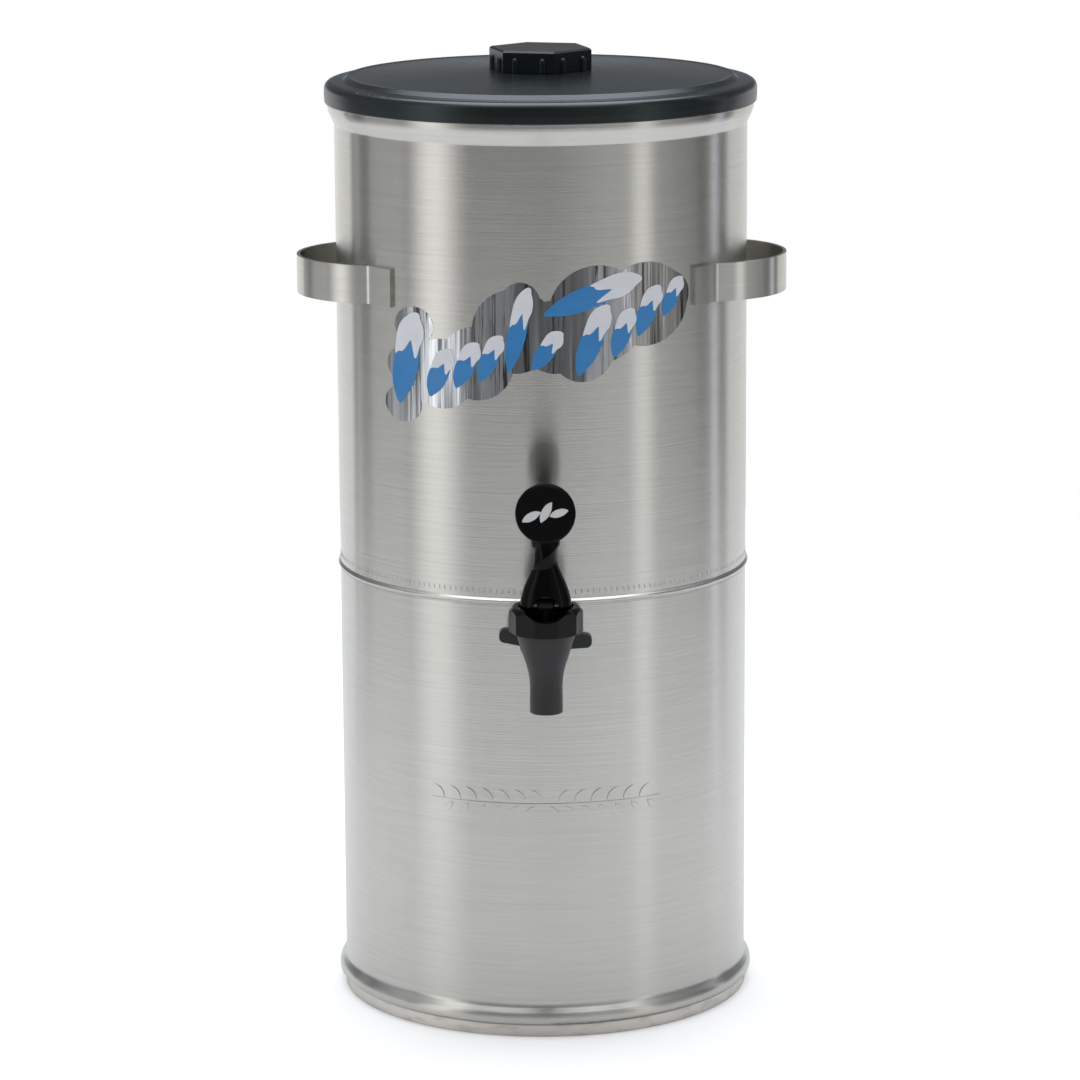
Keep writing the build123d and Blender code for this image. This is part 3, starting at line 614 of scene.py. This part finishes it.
def print_on_shell(drawing, lift):
    """Lays a flat drawing on the shell from its reach in front, and gives it the print's thickness."""
    drawing.location.z = LABEL_Z
    settle(drawing)
    apply_modifier(
        drawing, "SHRINKWRAP", target=nodes["upper_shell"], offset=lift,
        wrap_method="PROJECT", wrap_mode="ABOVE_SURFACE",
        use_project_x=False, use_project_y=True, use_project_z=False,
        use_positive_direction=True, use_negative_direction=False)
    face_front(drawing)
    apply_modifier(drawing, "SOLIDIFY", thickness=PRINT_THICKNESS, offset=1.0)


class DISPENSER_OT_steel(bpy.types.Operator):
    """Finish the shells, handles, pan and other metal pieces"""
    bl_idname = "dispenser.steel"
    bl_label = "Finish the steel"

    def execute(self, context):
        look = settings()
        tint = list(look.steel_tint)
        shell = brushed_steel(
            "shell_steel", tint, look.steel_roughness, grain=0.055, brushing=look.steel_anisotropy,
            brush_depth=0.05 * MM)
        strap = brushed_steel("strap_steel", tint, roughness=0.25, grain=0.05, brushing=0.9)
        pan = brushed_steel("pan_steel", tint, roughness=0.38, grain=0.03, brushing=0.4)
        turned = brushed_steel(
            "turned_steel", (0.56, 0.56, 0.55), roughness=0.3, grain=0.03, brushing=0.3)
        foot = stained_metal("foot_metal", (0.82, 0.785, 0.73), roughness=0.42)
        foil = wavy_foil("label_foil", (0.62, 0.64, 0.67))
        dress(shell, "upper_shell", "base_skirt")
        dress(strap, "handle_left", "handle_right")
        dress(pan, "reservoir_pan")
        dress(turned, "shank", "lever_pin")
        dress(foot, "foot_ring")
        dress(foil, "front_label")
        return {"FINISHED"}


class DISPENSER_OT_mouldings(bpy.types.Operator):
    """Finish the lid, cap, faucet, lever and seals"""
    bl_idname = "dispenser.mouldings"
    bl_label = "Finish the mouldings"

    def execute(self, context):
        for node, name, *finish in MOULDINGS:
            dress(moulded(name, *finish), node)
        return {"FINISHED"}


class DISPENSER_OT_label_print(bpy.types.Operator):
    """Print frosted leaves on the foil label"""
    bl_idname = "dispenser.label_print"
    bl_label = "Print the label"

    def execute(self, context):
        look = settings()
        depth = -BODY_R - PRINT_REACH
        leaves = strew(model_leaf(), LABEL_LEAVES, 0.0, depth)
        print_on_shell(leaves, look.print_lift)
        blue = printed("print_blue", look.print_blue, pale=(0.05, 0.27, 0.62), speck=0.2)
        finish_piece(leaves, "label_leaves", blue, "vessel")
        frost = strew(model_frost(), LABEL_LEAVES, FROST_RAISE, depth)
        print_on_shell(frost, look.print_lift + FROST_LIFT)
        white = printed("print_white", look.print_white, pale=(0.86, 0.88, 0.92), speck=0.25)
        finish_piece(frost, "label_frost", white, "vessel")
        return {"FINISHED"}


class DISPENSER_OT_lever_mark(bpy.types.Operator):
    """Print a small sprig of leaves on the lever's round inlay"""
    bl_idname = "dispenser.lever_mark"
    bl_label = "Print the lever's mark"

    def execute(self, context):
        sprig = strew(model_leaf(), MARK_LEAVES, 0.0, 0.0)
        face_front(sprig)
        apply_modifier(sprig, "SOLIDIFY", thickness=MARK_THICKNESS, offset=1.0)
        sprig.rotation_euler = (-DISC_LEAN, 0, 0)
        sprig.location = (
            0,
            FAUCET_Y - DISC_FORWARD - DISC_FACE * math.cos(DISC_LEAN),
            DISC_Z + DISC_FACE * math.sin(DISC_LEAN),
        )
        settle(sprig)
        pale = printed("mark_white", (0.62, 0.63, 0.63), pale=(0.72, 0.73, 0.73), speck=0.2)
        finish_piece(sprig, "lever_sprig", pale, "lever")
        return {"FINISHED"}


class DISPENSER_OT_weld_marks(bpy.types.Operator):
    """Add the row of small leaning weld marks over the bead"""
    bl_idname = "dispenser.weld_marks"
    bl_label = "Add the weld marks"

    def execute(self, context):
        middle = (0, -BODY_R, WELD_Z)
        marks = new_round(WELD_SIDES, WELD_R, "NGON", FACING_FRONT, (0, -BODY_R + WELD_SUNK, WELD_Z))
        edit_all(marks)
        bpy.ops.transform.resize(value=(1, 1, WELD_STRETCH), center_override=middle)
        bpy.ops.transform.rotate(value=WELD_LEAN, orient_axis="Y", center_override=middle)
        bpy.ops.mesh.extrude_region_move(TRANSFORM_OT_translate={"value": (0, -WELD_PROUD, 0)})
        bpy.ops.transform.resize(value=WELD_CROWN, center_override=middle)
        bpy.ops.mesh.select_all(action="SELECT")
        bpy.ops.mesh.spin(
            steps=WELD_COUNT - 1, dupli=True, angle=FULL_TURN * (WELD_COUNT - 1) / WELD_COUNT,
            center=(0, 0, 0), axis=(0, 0, 1))
        leave_edit()
        outward(marks)
        dull = brushed_steel("weld_steel", (0.47, 0.46, 0.43), roughness=0.33, grain=0.08, brushing=0.2)
        finish_piece(marks, "weld_marks", dull, "vessel")
        return {"FINISHED"}


class DISPENSER_OT_spring(bpy.types.Operator):
    """Wind the faucet's return spring"""
    bl_idname = "dispenser.spring"
    bl_label = "Wind the spring"

    def execute(self, context):
        pitch = (SPRING_HIGH - SPRING_LOW - 2 * SPRING_WIRE_R) / SPRING_TURNS
        spring = new_round(SPRING_WIRE_SIDES, SPRING_WIRE_R, "NOTHING", FACING_FRONT, (SPRING_R, 0, 0))
        apply_modifier(
            spring, "SCREW", angle=FULL_TURN, screw_offset=pitch, iterations=SPRING_TURNS,
            steps=SPRING_STEPS, render_steps=SPRING_STEPS, axis="Z", use_merge_vertices=False)
        edit_all(spring)
        choose_open_edges()
        bpy.ops.mesh.fill_holes(sides=SPRING_WIRE_SIDES)
        leave_edit()
        outward(spring)
        spring.location = (0, FAUCET_Y, SPRING_LOW + SPRING_WIRE_R)
        settle(spring)
        bpy.ops.object.shade_smooth_by_angle(angle=math.radians(50))
        drawn = brushed_steel(
            "spring_wire", (0.58, 0.58, 0.57), roughness=0.25, grain=0.05, brushing=0.0)
        finish_piece(spring, "spring_wire", drawn, "vessel")
        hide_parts("return_spring")
        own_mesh(spring)
        return {"FINISHED"}


class DISPENSER_OT_cup(bpy.types.Operator):
    """Mould the faucet's soft seat cup"""
    bl_idname = "dispenser.cup"
    bl_label = "Mould the seat cup"

    def execute(self, context):
        radius, height = CUP_PROFILE[0]
        tip = (0, FAUCET_Y, FAUCET_Z + height * MM)
        cup = new_round(CUP_SIDES, radius * MM, "NGON", location=tip)
        edit_all(cup)
        for next_radius, next_height in CUP_PROFILE[1:]:
            rise = (next_height - height) * MM
            share = next_radius / radius
            middle = (0, FAUCET_Y, FAUCET_Z + next_height * MM)
            bpy.ops.mesh.extrude_region_move(TRANSFORM_OT_translate={"value": (0, 0, rise)})
            bpy.ops.transform.resize(value=(share, share, 1), center_override=middle)
            radius, height = next_radius, next_height
        choose_open_edges()
        bpy.ops.mesh.edge_face_add()
        leave_edit()
        outward(cup)
        apply_modifier(
            cup, "BEVEL", width=CUP_EDGE, segments=3, limit_method="ANGLE", angle_limit=math.radians(25))
        bpy.ops.object.shade_smooth_by_angle(angle=math.radians(35))
        soft = moulded(
            "cup_rubber", SOFT_WHITE, roughness=0.5, grain_scale=1500.0, grain_depth=0.02 * MM, tone=0.05)
        finish_piece(cup, "cup_rubber", soft, "vessel")
        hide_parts("seat_cup")
        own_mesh(cup)
        return {"FINISHED"}


def strip(net, turn, middle, half, soft, strength):
    """An upright panel of light round the object, or of shade where its strength is below zero."""
    return net.ease(abs(turn - middle), half + soft, max(half - soft, 0.0), 0.0, strength)


def build_world():
    """A grey room with upright panels to either side, a pale back and a long soft panel over the top.

    Angles are in degrees: turn goes round from the front to the right, rise goes up from level,
    and over goes up from the front and across the top to the back.
    """
    world = bpy.data.worlds.new("studio_room")
    world.use_nodes = True
    net = Net(world.node_tree)
    x, y, z = net.split(net.add("ShaderNodeTexCoord", out="Generated"))
    front = -1.0 * y
    turn = x.maths("ARCTAN2", x, front) * DEGREES
    rise = z.maths("ARCSINE", z) * DEGREES
    over = z.maths("ARCTAN2", z, front) * DEGREES
    panels = 0.0
    for panel in PANELS:
        panels = panels + strip(net, turn, *panel)
    lilac = strip(net, turn, *LILAC_PANEL)
    panels = panels + lilac * LILAC_STRENGTH
    back = net.ease(turn, *RIGHT_BACK) + net.ease(turn, *LEFT_BACK)
    back = back * net.ease(rise, *BACK_FADE)
    wall = panels * net.ease(rise, *WALL_FADE) + back + WALL_STRENGTH
    ceiling = net.ease(over, *CEILING_FRONT) * net.ease(over, *CEILING_BACK)
    ceiling = ceiling * net.ease(abs(x), *CEILING_SIDES)
    level = wall * (1 - ceiling) + ceiling * CEILING_STRENGTH
    path = net.add("ShaderNodeLightPath", out="Is Camera Ray")
    cool = net.colour(lilac, rgba(WHITE), rgba((0.93, 0.93, 1.12)))
    shade = net.colour(net.ease(over, *COOL_FADE), cool, rgba((0.95, 0.99, 1.06)))
    room = net.add("ShaderNodeBackground", None, {"Color": shade, "Strength": level})
    blank = net.add("ShaderNodeBackground", None, {"Color": rgba(WHITE), "Strength": 1.0})
    seen = net.add("ShaderNodeMixShader", None, {0: path, 1: room, 2: blank})
    net.add("ShaderNodeOutputWorld", None, {"Surface": seen})
    bpy.context.scene.world = world


def build_floor(radius):
    """A white table top, lifted to plain white where the camera sees it."""
    floor = new_round(FLOOR_SIDES, radius, "NGON")
    floor.name = "floor"
    material, net = new_net("white_table")
    path = net.add("ShaderNodeLightPath", out="Is Camera Ray")
    matt = net.add("ShaderNodeBsdfDiffuse", None, {"Color": rgba([FLOOR_GREY] * 3)})
    lift = net.add("ShaderNodeEmission", None, {"Color": rgba(WHITE), "Strength": path * FLOOR_LIFT})
    both = net.add("ShaderNodeAddShader", None, {0: matt, 1: lift})
    net.add("ShaderNodeOutputMaterial", None, {"Surface": both})
    floor.data.materials.append(material)


def add_lamp(name, side):
    """A round lamp in front of the object and over it, to one side."""
    place = Vector((side * LAMP_ASIDE, -LAMP_FORWARD, LAMP_Z))
    bpy.ops.object.light_add(type="AREA", location=place)
    lamp = bpy.context.object
    lamp.name = name
    lamp.data.shape = "DISK"
    lamp.data.size = LAMP_SIZE
    lamp.data.energy = LAMP_POWER
    lamp.rotation_euler = (Vector(LAMP_TARGET) - place).to_track_quat("-Z", "Y").to_euler()


def turned_about(axis, angle):
    return Matrix.Rotation(angle, 4, axis)


def build_camera():
    """The camera stands where the photograph was taken: in front, looking down a little."""
    look = settings()
    place = Vector((
        math.sin(CAMERA_ASIDE) * look.camera_distance,
        -math.cos(CAMERA_ASIDE) * look.camera_distance,
        look.camera_height,
    ))
    bpy.ops.object.camera_add(location=place)
    camera = bpy.context.object
    turn = (
        turned_about("Z", CAMERA_ASIDE) @ turned_about("X", math.pi / 2 - CAMERA_TILT)
        @ turned_about("Z", CAMERA_ROLL))
    camera.matrix_world = Matrix.Translation(place) @ turn
    camera.data.sensor_width = SENSOR_WIDTH
    camera.data.lens = SENSOR_WIDTH * PHOTO_LENS / PHOTO_WIDTH
    camera.data.shift_x = PHOTO_SHIFT / PHOTO_WIDTH
    camera.data.clip_start = 0.05
    camera.data.clip_end = 50.0
    bpy.context.scene.camera = camera


class DISPENSER_OT_stage(bpy.types.Operator):
    """Set up the floor, the room's light, the lamps and the camera"""
    bl_idname = "dispenser.stage"
    bl_label = "Set up the studio"

    def execute(self, context):
        context.scene.view_settings.view_transform = "Standard"
        build_world()
        build_floor(settings().floor_radius)
        add_lamp("left_lamp", -1)
        add_lamp("right_lamp", 1)
        build_camera()
        return {"FINISHED"}


class DISPENSER_PT_sidebar(bpy.types.Panel):
    bl_label = "Tea dispenser"
    bl_idname = "DISPENSER_PT_sidebar"
    bl_space_type = "VIEW_3D"
    bl_region_type = "UI"
    bl_category = "Dispenser"

    def draw(self, context):
        for name in DISPENSER_PG_settings.__annotations__:
            self.layout.prop(context.scene.dispenser, name)
        for operator in OPERATORS:
            self.layout.operator(operator.bl_idname)


OPERATORS = (
    DISPENSER_OT_steel, DISPENSER_OT_mouldings, DISPENSER_OT_label_print, DISPENSER_OT_lever_mark,
    DISPENSER_OT_weld_marks, DISPENSER_OT_spring, DISPENSER_OT_cup, DISPENSER_OT_stage,
)
CLASSES = (DISPENSER_PG_settings, *OPERATORS, DISPENSER_PT_sidebar)


def register():
    for each in CLASSES:
        bpy.utils.register_class(each)
    bpy.types.Scene.dispenser = bpy.props.PointerProperty(type=DISPENSER_PG_settings)


def unregister():
    del bpy.types.Scene.dispenser
    for each in reversed(CLASSES):
        bpy.utils.unregister_class(each)


def main():
    register()
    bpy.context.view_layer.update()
    bpy.ops.object.select_all(action="DESELECT")
    bpy.ops.dispenser.steel()
    bpy.ops.dispenser.mouldings()
    bpy.ops.dispenser.label_print()
    bpy.ops.dispenser.lever_mark()
    bpy.ops.dispenser.weld_marks()
    bpy.ops.dispenser.spring()
    bpy.ops.dispenser.cup()
    bpy.ops.dispenser.stage()


if __name__ == "__main__":
    main()
